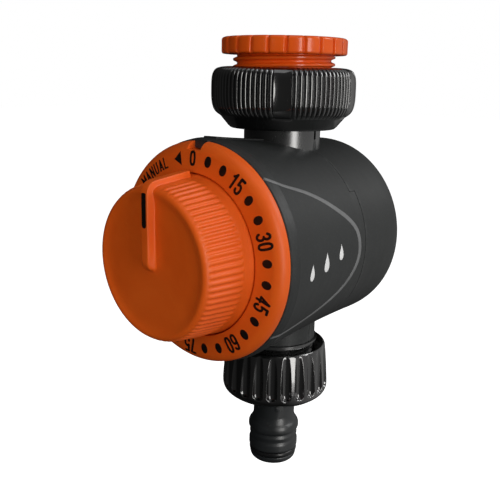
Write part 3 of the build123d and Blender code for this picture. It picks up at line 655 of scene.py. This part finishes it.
SIX = [oval(0.5, 0.30, 0.5, 0.30, 0, 360, 32, 0.85), [(0.0, 0.30), (0.0, 0.62)] + oval(0.5, 0.70, 0.5, 0.30, 170, 35, 14, 0.85)]
STROKES = {
    "0": [oval(0.5, 0.5, 0.5, 0.5, 0, 360, 44, 0.72)],
    "1": [[(0.12, 0.76), (0.38, 0.84), (0.62, 1.0), (0.62, 0.0)]],
    "2": [oval(0.5, 0.73, 0.5, 0.27, 172, -28, 20, 0.9) + [(0.06, 0.0), (1.0, 0.0)]],
    "3": [oval(0.46, 0.765, 0.46, 0.235, 165, -90, 20, 0.9) + oval(0.46, 0.265, 0.54, 0.265, 90, -165, 22, 0.9)],
    "4": [[(0.72, 0.0), (0.72, 1.0), (0.0, 0.28), (1.0, 0.28)]],
    "5": [[(0.94, 1.0), (0.12, 1.0), (0.06, 0.54)] + oval(0.48, 0.31, 0.52, 0.31, 125, -165, 24, 0.9)],
    "6": SIX,
    "7": [[(0.0, 1.0), (1.0, 1.0), (0.62, 0.5), (0.38, 0.0)]],
    "9": [[(1 - x, 1 - y) for x, y in line] for line in SIX],
    "M": [[(0.0, 0.0), (0.0, 1.0), (0.5, 0.30), (1.0, 1.0), (1.0, 0.0)]],
    "A": [[(0.0, 0.0), (0.5, 1.0), (1.0, 0.0)], [(0.17, 0.30), (0.83, 0.30)]],
    "N": [[(0.0, 0.0), (0.0, 1.0), (1.0, 0.0), (1.0, 1.0)]],
    "U": [[(0.0, 1.0), (0.0, 0.35)] + oval(0.5, 0.32, 0.5, 0.32, 180, 360, 16, 0.85) + [(1.0, 1.0)]],
    "L": [[(0.0, 1.0), (0.0, 0.0), (0.95, 0.0)]],
}


def glyph_mesh(ch, w, h, half, cell=0.085):
    """A filled character as a flat sheet: vertices (x, y), faces, and the boundary edges."""
    segs = []
    for line in STROKES[ch]:
        q = [(half + x * (w - 2 * half), half + y * (h - 2 * half)) for x, y in line]
        segs += list(zip(q[:-1], q[1:]))
    nx, ny = int(w / cell) + 3, int(h / cell) + 3
    gx = (np.arange(nx) - 1) * cell
    gy = (np.arange(ny) - 1) * cell
    X, Y = np.meshgrid(gx, gy, indexing="ij")
    D = np.full(X.shape, 9.0)
    for (ax, ay), (bx, by) in segs:
        dx, dy = bx - ax, by - ay
        t = np.clip(((X - ax) * dx + (Y - ay) * dy) / max(dx * dx + dy * dy, 1e-9), 0, 1)
        D = np.minimum(D, np.hypot(X - ax - t * dx, Y - ay - t * dy))
    D = D - half
    D = np.where(np.abs(D) < 0.004, 0.004, D)
    V, F, idx = [], [], {}

    def corner(i, j):
        k = (i, j)
        if k not in idx:
            idx[k] = len(V)
            V.append((gx[i], gy[j]))
        return idx[k]

    def crossing(a, b):
        k = (min(a, b), max(a, b))
        if k not in idx:
            (i0, j0), (i1, j1) = k
            t = D[i0, j0] / (D[i0, j0] - D[i1, j1])
            idx[k] = len(V)
            V.append((gx[i0] + (gx[i1] - gx[i0]) * t, gy[j0] + (gy[j1] - gy[j0]) * t))
        return idx[k]

    for i in range(nx - 1):
        for j in range(ny - 1):
            c = [(i, j), (i + 1, j), (i + 1, j + 1), (i, j + 1)]
            inside = [D[q] < 0 for q in c]
            if not any(inside):
                continue
            poly = []
            for k in range(4):
                a, b = c[k], c[(k + 1) % 4]
                if D[a] < 0:
                    poly.append(corner(*a))
                if (D[a] < 0) != (D[b] < 0):
                    poly.append(crossing(a, b))
            if len(poly) >= 3:
                F.append(poly)
    count = {}
    for f in F:
        for k in range(len(f)):
            e = (f[k], f[(k + 1) % len(f)])
            count[tuple(sorted(e))] = count.get(tuple(sorted(e)), 0) + 1
    edge = [(f[k], f[(k + 1) % len(f)]) for f in F for k in range(len(f))
            if count[tuple(sorted((f[k], f[(k + 1) % len(f)])))] == 1]
    return V, F, edge


def glyphs(name, text, a, height, pitch, half, width, follow=False):
    """Condensed bold printed characters, tops outward, centred on dial angle a."""
    VV, FF = [], []
    n = len(text)
    for i, ch in enumerate(text):
        w = width * (1.22 if ch == "M" else 1.0)
        V, F, edge = glyph_mesh(ch, w, height, half)
        off = (i - (n - 1) / 2) * pitch
        base = len(VV)
        m = len(V)
        for lift in (0.05, -0.05):
            for x, y in V:
                u, v = x - w / 2, y - height / 2
                if follow:
                    VV.append(on_dial(u, v, a + off / MARK_R, lift))
                else:
                    VV.append(on_dial(u + off, v, a, lift))
        FF += [[base + k for k in f] for f in F]
        FF += [[base + m + k for k in reversed(f)] for f in F]
        FF += [[base + q, base + p, base + m + p, base + m + q] for p, q in edge]
    return add(name, np.array(VV), FF, MARKING, "housing", smooth=False)


def marks():
    for k in range(25):
        a = k * STEP
        if k % 3 == 0:
            glyphs("dial_number_%d" % (k * 5), "%d" % (k * 5), a, 5.2 if k else 4.5, 2.65 if k < 20 else 2.3,
                   0.38 if k < 20 else 0.34, 2.35 if k < 20 else 2.0)
        else:
            dot("dial_dot_%d" % (k * 5), a)
    # pointer triangle before zero
    a = -STEP
    V, F = [], []
    tri = [(-1.5, 0.0), (1.3, 2.1), (1.3, -2.1)]
    for lift in (-0.05, 0.06):
        for u, v in tri:
            V.append(on_dial(u, v, a, lift))
    F = [(0, 1, 2), (5, 4, 3), (0, 3, 4, 1), (1, 4, 5, 2), (2, 5, 3, 0)]
    add("dial_arrow", V, F, MARKING, "housing", smooth=False)
    glyphs("dial_legend_manual", "MANUAL", math.radians(-35.0), 3.7, 2.35, 0.26, 1.8, follow=True)


marks()


# ---------------------------------------------------------------------------
# Knob with its pointer fin
# ---------------------------------------------------------------------------
def knob():
    face = [(0.35, -58.3), (1.2, -58.3), (3.0, -58.3), (6.0, -58.32), (10.0, -58.35), (14.0, -58.37), (17.5, -58.4),
            (18.7, -58.48), (19.6, -58.65)]
    edge = [(20.4, -58.88), (21.2, -59.0), (21.85, -58.75), (22.45, -57.95), (22.85, -56.6)]
    side = [(23.15, -54.0), (23.55, -50.5), (23.9, -47.0), (24.1, -44.5), (24.35, -43.0), (24.5, -42.3), (24.45, -38.9),
            (24.3, -38.6)]
    raw = np.array(face + edge + side)
    # a smooth line through the points
    d = np.concatenate([[0], np.cumsum(np.linalg.norm(np.diff(raw, axis=0), axis=1))])
    n_face, n_side = 56, 78
    s_edge = d[len(face) - 1]
    samples = np.concatenate([np.linspace(0, s_edge - 0.6, n_face, endpoint=False),
                              np.linspace(s_edge - 0.6, d[-1], n_side)])
    prof = np.stack([catmull(d, raw[:, 0], samples), catmull(d, raw[:, 1], samples)], -1)
    tan = np.gradient(prof, axis=0)
    tan /= np.linalg.norm(tan, axis=1)[:, None]
    fine = np.radians(np.arange(-7.2, 7.2001, 0.16))
    rest = np.radians(np.arange(7.6, 352.6, 0.48))
    th = np.concatenate([fine, rest])
    T, R = np.meshgrid(th, prof[:, 0], indexing="ij")
    Y = np.broadcast_to(prof[:, 1], T.shape).copy()
    # ribs round the side
    deg = np.degrees(T)
    ph = wrap(deg, 4.8, 2.4)
    rib = 0.5 + 0.5 * np.cos(2 * PI * ph / 4.8)
    rib = sm(rib * 1.15 - 0.05)
    along = sm((Y + 58.3) / 1.6) * sm((-45.2 - Y) / 1.7)
    clear = sm((np.abs(wrap(deg, 360.0)) - 8.6) / 2.0)
    R = R + (rib - 0.62) * 0.46 * along * clear
    # pointer fin
    X, Z = R * np.sin(T), R * np.cos(T)
    ridge_r, ridge_y = fin_line(prof)
    TR = np.broadcast_to(ridge_r, T.shape)
    TY = np.broadcast_to(ridge_y, T.shape)
    half = 1.55
    across = 1 - sm((np.abs(X) - (half - 0.26)) / 0.55)
    rise = np.clip((Z + 1.7) / 3.1, 0.0, 1.0)
    start = np.sqrt(np.maximum(1 - (1 - rise) ** 2, 0.0))
    # round the inner end in plan
    endcap = 1 - sm((np.hypot(X, np.minimum(Z + 0.3, 0.0)) - (half - 0.26)) / 0.55)
    across = np.where(Z < -0.3, endcap, across)
    back = sm((-44.0 - Y) / 0.45)
    W = across * np.where(Z < 2.5, start, 1.0) * back
    W = np.where(Z < -2.0, 0.0, W)
    top_round = 0.10 * (np.clip(np.abs(X) / half, 0, 1) ** 3)
    # the ridge is a straight bar: its target keeps x and moves z and y
    TZ = np.sqrt(np.maximum(TR ** 2 - X ** 2, 0.0))
    on_face = prof[:, 0][None, :] < 19.7
    NZ = np.where(on_face, Z, Z + (TZ - Z) * W)
    NY = Y + (TY + top_round - Y) * W
    P = np.stack([X, NY, NZ], -1)
    # inside of the knob: a closed cup
    inner = np.array([(24.0, -38.6), (22.7, -38.6), (22.5, -44.0), (21.9, -52.0), (21.0, -56.2), (19.0, -57.2), (10.0, -56.9),
                      (0.35, -56.6)])
    Ti, Ri = np.meshgrid(th, inner[:, 0], indexing="ij")
    Yi = np.broadcast_to(inner[:, 1], Ti.shape)
    Pi = np.stack([Ri * np.sin(Ti), Yi, Ri * np.cos(Ti)], -1)
    A = np.concatenate([P, Pi], axis=1)
    V, F = sweep(A, True, False)
    V = list(map(tuple, V))
    nu, nv = A.shape[:2]
    V.append((0.0, float(P[:, 0, 1].mean()), 0.0))
    V.append((0.0, -56.6, 0.0))
    c0, c1 = len(V) - 2, len(V) - 1
    for i in range(nu):
        k = (i + 1) % nu
        F.append((c0, i * nv, k * nv))
        F.append((c1, k * nv + nv - 1, i * nv + nv - 1))
    o = add("knob_body", np.array(V), F, ORANGE, "knob", standin=("knob",))
    # hub inside the cup, round the shaft
    hub = fillet([(3.1, -56.7), (5.6, -56.7), (5.6, -41.0), (3.1, -41.0)], 0.2, 2, closed=True, step=1.5)
    V, F = sweep(lathe_y(hub, ring_angles(72)))
    add("knob_hub", V, F, ORANGE, "knob")
    # black inlay strip in the ridge
    V, F = [], []
    w, z0, z1 = 0.88, 11.0, 21.0
    outline = []
    for k in range(13):
        t = PI * k / 12
        outline.append((w * math.cos(t), z1 - w * 0.4 + w * 0.4 * math.sin(t)))
    for k in range(13):
        t = PI + PI * k / 12
        outline.append((w * math.cos(t), z0 + w + w * math.sin(t)))
    n = len(outline)
    for lift in (-0.3, 0.04, 0.055):
        s = 1.0 if lift < 0.05 else 0.9
        for x, z in outline:
            zz = z if s == 1.0 else (z - 16.0) * 0.99 + 16.0
            V.append((x * s, inlay_y(z) - lift, zz))
    for i in range(2):
        for k in range(n):
            j = (k + 1) % n
            F.append((i * n + k, i * n + j, (i + 1) * n + j, (i + 1) * n + k))
    F.append([2 * n + k for k in range(n)])
    F.append([n - 1 - k for k in range(n)])
    add("pointer_inlay_body", V, F, INLAY, "knob", smooth=False, standin=("pointer_inlay",))
    return o


def catmull(x, y, q):
    """Monotone-ish cubic through (x, y), sampled at q."""
    m = np.gradient(y, x)
    i = np.clip(np.searchsorted(x, q, side="right") - 1, 0, len(x) - 2)
    h = x[i + 1] - x[i]
    t = (q - x[i]) / h
    return ((2 * t ** 3 - 3 * t ** 2 + 1) * y[i] + (t ** 3 - 2 * t ** 2 + t) * h * m[i]
            + (-2 * t ** 3 + 3 * t ** 2) * y[i + 1] + (t ** 3 - t ** 2) * h * m[i + 1])


def inlay_y(z):
    return -60.9


def fin_line(prof):
    """Where each point of the knob's line goes on the fin's ridge: (radius, y)."""
    R = np.empty(len(prof)); Y = np.empty(len(prof))
    corner = [(20.5, -60.9), (21.4, -60.86), (22.4, -60.52), (23.3, -59.85), (23.95, -58.95), (24.3, -57.7)]
    s = np.concatenate([[0], np.cumsum(np.linalg.norm(np.diff(prof, axis=0), axis=1))])
    i0 = int(np.max(np.nonzero(prof[:, 0] <= 19.7)[0]))
    i1 = int(np.min(np.nonzero((prof[:, 1] > -57.7) & (prof[:, 0] > 21))[0]))
    for i, (r, y) in enumerate(prof):
        if i >= i1:                                           # side
            R[i] = 24.3 + (25.95 - 24.3) * (y + 57.7) / (57.7 - 44.2)
            Y[i] = y
        elif i <= i0:
            R[i], Y[i] = r, -60.9
        else:                                                 # rounded front edge
            k = (s[i] - s[i0]) / (s[i1] - s[i0]) * (len(corner) - 1)
            j = min(int(k), len(corner) - 2)
            f = k - j
            R[i] = corner[j][0] * (1 - f) + corner[j + 1][0] * f
            Y[i] = corner[j][1] * (1 - f) + corner[j + 1][1] * f
    return R[None, :], Y[None, :]


knob()


# ---------------------------------------------------------------------------
# Prints on the housing: side stripes and drop pictograms
# ---------------------------------------------------------------------------
def house_r(y):
    y = np.asarray(y, float)
    r = np.where(y < 19.98, 31.94 + 2.91 * ((19.98 - y) / 53.98) ** 2, 31.94)
    return np.where(y < -34.0, np.interp(y, [-37.3, -37.05, -35.8, -34.0], [34.05, 34.3, 34.62, 34.85]), r)


def on_house(y, ang, lift, side):
    r = house_r(y) + lift
    return np.stack([side * r * np.sin(ang), y + 0 * r, r * np.cos(ang)], -1)


STRIPE_PTS = np.array([(-37.15, 42.6), (-35.6, 44.9), (-34.0, 46.7), (-32.0, 48.2), (-28.0, 50.3), (-24.0, 52.4), (-16.0, 58.5), (-9.7, 65.1), (-3.9, 72.3), (-0.6, 78.8), (0.5, 85.5),
                       (0.4, 94.3), (-1.9, 103.4), (-5.7, 111.0), (-10.6, 116.8), (-16.1, 121.2), (-22.0, 124.2), (-28.0, 126.0),
                       (-34.0, 126.6), (-35.6, 126.9), (-37.15, 127.6)])


def stripe(side, name):
    q = STRIPE_PTS.copy()
    q[:, 1] = np.radians(q[:, 1])
    flat = np.stack([q[:, 0], q[:, 1] * 32.8], -1)
    d = np.concatenate([[0], np.cumsum(np.linalg.norm(np.diff(flat, axis=0), axis=1))])
    s = np.linspace(0, d[-1], 150)
    c = np.stack([catmull(d, flat[:, 0], s), catmull(d, flat[:, 1], s)], -1)
    for _ in range(3):
        c[1:-1] = 0.25 * c[:-2] + 0.5 * c[1:-1] + 0.25 * c[2:]
    t = np.gradient(c, axis=0)
    t /= np.linalg.norm(t, axis=1)[:, None]
    nrm = np.stack([-t[:, 1], t[:, 0]], -1)
    width = 0.42 + 0.42 * np.sin(np.linspace(0, PI, len(s))) ** 1.2
    cross = [(-1.0, -0.06), (-1.0, 0.03), (-0.9, 0.05), (-0.45, 0.055), (0.0, 0.055), (0.45, 0.055), (0.9, 0.05), (1.0, 0.03),
             (1.0, -0.06)]
    P = np.empty((len(s), len(cross), 3))
    for j, (k, lift) in enumerate(cross):
        e = c + nrm * (k * width)[:, None]
        P[:, j] = on_house(e[:, 0], e[:, 1] / 32.8, lift, side)
    V, F = sweep(P, False, True)
    m = len(cross)
    F.append(list(range(m)))
    F.append([len(V) - 1 - k for k in range(m)])
    add(name, V, F, STRIPE, "housing")


stripe(1, "side_stripe_right")
stripe(-1, "side_stripe_left")


def drop(name, yc, zc, size, side):
    """A plain water drop, point up, lying on the side of the drum."""
    out = []
    for k in range(64):
        t = 2 * PI * k / 64
        x = math.sin(t) * (math.sin(t / 2) ** 1.6)
        z = math.cos(t)
        out.append((x * 0.62 * size, z * size * 0.95))
    out = np.array(out)
    cz = -0.35 * size
    rings = [(1.0, -0.06), (1.0, 0.035), (0.95, 0.055), (0.7, 0.06), (0.4, 0.06), (0.12, 0.06)]
    V, F = [], []
    n = len(out)
    for s, lift in rings:
        for x, z in out:
            yy = yc + x * s
            zz = zc + cz + (z - cz) * s
            V.append(on_house(np.array(yy), np.array(PI / 2 - zz / 32.8), lift, side))
    for i in range(len(rings) - 1):
        for k in range(n):
            j = (k + 1) % n
            F.append((i * n + k, i * n + j, (i + 1) * n + j, (i + 1) * n + k))
    F.append([(len(rings) - 1) * n + k for k in range(n)])
    F.append([n - 1 - k for k in range(n)])
    add(name, np.array(V), F, WHITE_INK, "housing")


for side, tag in ((1, "right"), (-1, "left")):
    for k, (yc, zc, size) in enumerate(((-27.0, -1.9, 2.6), (-19.0, -0.4, 3.1), (-10.6, 1.2, 2.6))):
        drop("drop_mark_%s_%d" % (tag, k), yc, zc, size, side)


# ---------------------------------------------------------------------------
# Stage, lights, camera
# ---------------------------------------------------------------------------
def floor():
    me = bpy.data.meshes.new("floor")
    s = 6.0
    z = -0.36
    me.from_pydata([(-s, -s, z), (s, -s, z), (s, s, z), (-s, s, z)], [], [(0, 1, 2, 3)])
    o = bpy.data.objects.new("floor", me)
    bpy.context.scene.collection.objects.link(o)
    m = Mat("pale_floor")
    n = m.noise(3.0, 2.0, 0.5)
    m.set(**{"Base Color": m.ramp(n, [(0.3, (0.93, 0.93, 0.93)), (0.7, (0.95, 0.95, 0.95))]), "Roughness": 0.9,
             "Emission Color": (1.0, 1.0, 1.0, 1.0), "Emission Strength": 1.0})
    o.data.materials.append(m.m)
    o.visible_diffuse = False
    o.visible_glossy = False


floor()


def world():
    w = bpy.data.worlds.new("studio")
    bpy.context.scene.world = w
    w.use_nodes = True
    nt = w.node_tree
    nt.nodes.clear()
    out = nt.nodes.new("ShaderNodeOutputWorld")
    tc = nt.nodes.new("ShaderNodeTexCoord")

    def direction(vec, lo, hi):
        d = nt.nodes.new("ShaderNodeVectorMath")
        d.operation = "DOT_PRODUCT"
        d.inputs[1].default_value = vec
        nt.links.new(tc.outputs["Generated"], d.inputs[0])
        r = nt.nodes.new("ShaderNodeMapRange")
        r.interpolation_type = "SMOOTHSTEP"
        r.inputs["From Min"].default_value = lo
        r.inputs["From Max"].default_value = hi
        nt.links.new(d.outputs["Value"], r.inputs["Value"])
        return r.outputs["Result"]

    def mul(a, k):
        m = nt.nodes.new("ShaderNodeMath")
        m.operation = "MULTIPLY"
        nt.links.new(a, m.inputs[0])
        m.inputs[1].default_value = k
        return m.outputs[0]

    def plus(a, b):
        m = nt.nodes.new("ShaderNodeMath")
        m.operation = "ADD"
        for k, v in enumerate((a, b)):
            if isinstance(v, float):
                m.inputs[k].default_value = v
            else:
                nt.links.new(v, m.inputs[k])
        return m.outputs[0]

    right = mul(direction((0.757, 0.653, 0.0), 0.15, 0.95), 0.34)
    up = mul(direction((0.0, 0.0, 1.0), 0.2, 1.0), 0.05)
    front = mul(direction((0.62, -0.79, 0.0), 0.2, 1.0), 0.05)
    level = plus(plus(plus(right, up), front), 0.012)
    env = nt.nodes.new("ShaderNodeBackground")
    env.inputs["Color"].default_value = (1.0, 0.99, 0.98, 1)
    nt.links.new(level, env.inputs["Strength"])
    seen = nt.nodes.new("ShaderNodeBackground")
    seen.inputs["Color"].default_value = (1, 1, 1, 1)
    seen.inputs["Strength"].default_value = 1.0
    lp = nt.nodes.new("ShaderNodeLightPath")
    mix = nt.nodes.new("ShaderNodeMixShader")
    nt.links.new(lp.outputs["Is Camera Ray"], mix.inputs[0])
    nt.links.new(env.outputs[0], mix.inputs[1])
    nt.links.new(seen.outputs[0], mix.inputs[2])
    nt.links.new(mix.outputs[0], out.inputs[0])


world()

MID = Vector((0.0, 0.0, -0.070))


def area(name, az, el, dist, sx, sy, power, colour=(1, 1, 1)):
    """Azimuth 0 is in front of the object (-Y) and 90 to its right (+X)."""
    a, e = math.radians(az), math.radians(el)
    d = Vector((math.sin(a) * math.cos(e), -math.cos(a) * math.cos(e), math.sin(e)))
    li = bpy.data.lights.new(name, "AREA")
    li.shape = "RECTANGLE"
    li.size, li.size_y = sx, sy
    li.energy = power
    li.color = colour
    o = bpy.data.objects.new(name, li)
    bpy.context.scene.collection.objects.link(o)
    o.location = MID + d * dist
    o.rotation_mode = "QUATERNION"
    o.rotation_quaternion = d.to_track_quat("Z", "Y")
    return o


area("key_tall_softbox", 76, 8, 0.9, 0.26, 0.90, 3.6, (1.0, 0.985, 0.96))
area("right_rear_panel", 128, 36, 1.1, 0.45, 0.45, 3.2)
area("front_fill", 14, 14, 1.2, 0.14, 1.0, 3.7, (1.0, 0.985, 0.97)).visible_glossy = False
area("top_softbox", 60, 72, 1.0, 0.6, 0.6, 0.9)


def camera():
    cam = bpy.data.cameras.new("camera")
    cam.sensor_width = 36.0
    cam.sensor_fit = "AUTO"
    cam.lens = 51.57
    cam.clip_start, cam.clip_end = 0.01, 50.0
    o = bpy.data.objects.new("camera", cam)
    bpy.context.scene.collection.objects.link(o)
    C = row((149.5, -190.04, 53.21))
    r2 = Vector((0.7568, 0.6534, 0.0191)).normalized()
    back = Vector((0.6313, -0.7382, 0.2377)).normalized()
    u2 = back.cross(r2).normalized()
    r2 = u2.cross(back).normalized()
    m = Matrix.Identity(4)
    for i, col in enumerate((r2, u2, back, Vector(C))):
        for k in range(3):
            m[k][i] = col[k]
    o.matrix_world = m
    bpy.context.scene.camera = o


camera()
bpy.context.scene.view_settings.view_transform = "Standard"

bpy.context.view_layer.update()
